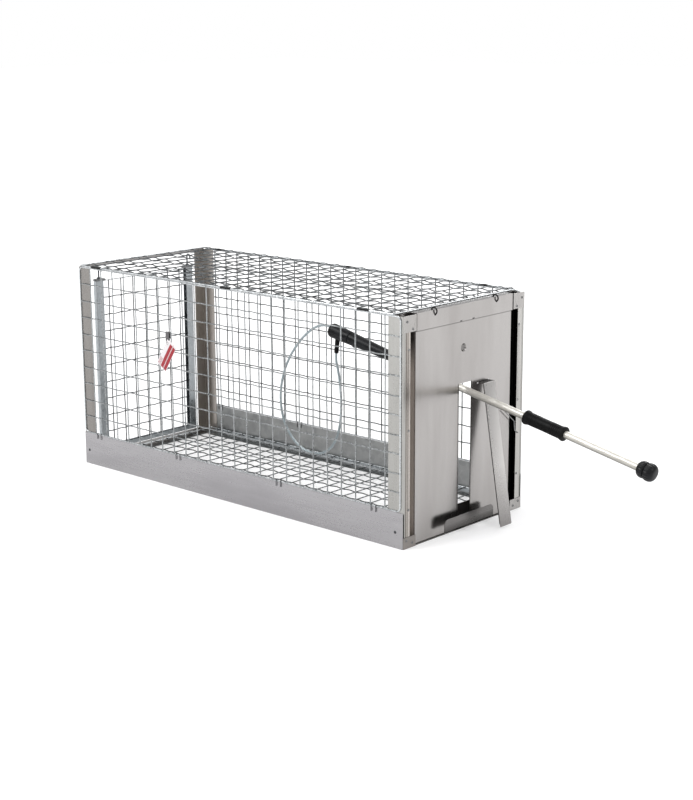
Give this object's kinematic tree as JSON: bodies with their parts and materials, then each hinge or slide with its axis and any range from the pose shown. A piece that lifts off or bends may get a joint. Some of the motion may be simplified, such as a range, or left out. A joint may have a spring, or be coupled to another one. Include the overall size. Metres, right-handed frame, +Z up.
{
  "type": "live catch trap",
  "caption": "Wire mesh live catch cage with a sliding sheet metal door, a squeeze panel and a snare pole through the door slot.",
  "frame": {"origin": "on the ground under the door sill, on the centre plane, 15 mm behind the door end", "axes": "+Z up, +X from the squeeze panel's end to the door end and along the pole, -Y towards the front side"},
  "size_m": [1.8207, 0.5036, 0.6039],
  "materials": {
    "sheet_steel": "brushed, satin",
    "galvanised_wire": "zinc coated, bright",
    "galvanised_channel": "zinc coated, satin",
    "fastener": "zinc plated, dull",
    "black_clip": "black, satin",
    "dark_tie": "dark zinc",
    "tag_paper": "coated card with red stripes",
    "tag_webbing": "woven, matte",
    "pole_aluminium": "satin anodised",
    "black_plastic": "moulded, semi-matte",
    "black_rubber": "moulded, matte",
    "fastener_dark": "black oxide",
    "steel_cable": "stranded wire rope in a clear grey sheath",
    "rod_steel": "ground"
  },
  "bodies": {
    "cage": {"front_rail": "sheet_steel", "rear_rail": "sheet_steel", "front_left_post": "sheet_steel", "rear_left_post": "sheet_steel", "front_right_post": "sheet_steel", "rear_right_post": "sheet_steel", "front_door_guide": "sheet_steel", "rear_door_guide": "sheet_steel", "front_floor_ledge": "galvanised_channel", "rear_floor_ledge": "galvanised_channel", "left_top_bar": "sheet_steel", "left_bottom_bar": "sheet_steel", "door_end_top_bar": "sheet_steel", "door_sill": "sheet_steel", "front_top_gusset": "sheet_steel", "rear_top_gusset": "sheet_steel", "front_base_gusset": "sheet_steel", "rear_base_gusset": "sheet_steel", "gusset_screws": "fastener", "guide_rivets": "fastener", "rail_rivets": "fastener", "cover_pocket": "sheet_steel", "front_mesh": "galvanised_wire", "rear_mesh": "galvanised_wire", "roof_mesh": "galvanised_wire", "floor_mesh": "galvanised_wire", "front_roof_clips": "black_clip", "rear_roof_clips": "black_clip", "front_rail_ties": "dark_tie", "rear_rail_ties": "dark_tie", "tag_card": "tag_paper", "tag_strap": "tag_webbing", "door_lock_wire": "fastener"},
    "door": {"door_panel": "sheet_steel", "door_lift_rings": "dark_tie"},
    "slot_cover": {"slot_cover": "sheet_steel"},
    "squeeze_panel": {"squeeze_front_channel": "galvanised_channel", "squeeze_rear_channel": "galvanised_channel", "squeeze_bottom_channel": "galvanised_channel", "squeeze_mesh": "galvanised_wire", "squeeze_top_caps": "galvanised_channel", "squeeze_hook_rods": "galvanised_wire"},
    "catch_pole": {"pole_tube": "pole_aluminium", "snare_head": "black_plastic", "cable_sleeve": "black_rubber", "head_clamp_screw": "fastener_dark", "snare_cable": "steel_cable", "pole_grip": "black_rubber", "pole_end_collar": "black_plastic"},
    "noose_pull": {"pull_knob": "black_plastic", "pull_rod": "rod_steel"}
  },
  "joints": [
    {"name": "door_lift", "type": "slide", "parent": "cage", "child": "door", "axis": [0, 0, 1], "range_m": [0, 0.45]},
    {"name": "cover_swing", "type": "hinge", "parent": "door", "child": "slot_cover", "pos_m": [0.00975, 0.0795, 0.38], "axis": [0, -1, 0], "range_deg": [0, 25]},
    {"name": "panel_squeeze", "type": "slide", "parent": "cage", "child": "squeeze_panel", "axis": [1, 0, 0], "range_m": [0, 0.3]},
    {"name": "pole_reach", "type": "slide", "parent": "cage", "child": "catch_pole", "axis": [-0.9789, 0, 0.2045], "range_m": [0, 0.12]},
    {"name": "noose_draw", "type": "slide", "parent": "catch_pole", "child": "noose_pull", "axis": [0.9789, 0, -0.2045], "range_m": [0, 0.2], "deforming": ["snare_cable"]}
  ]
}
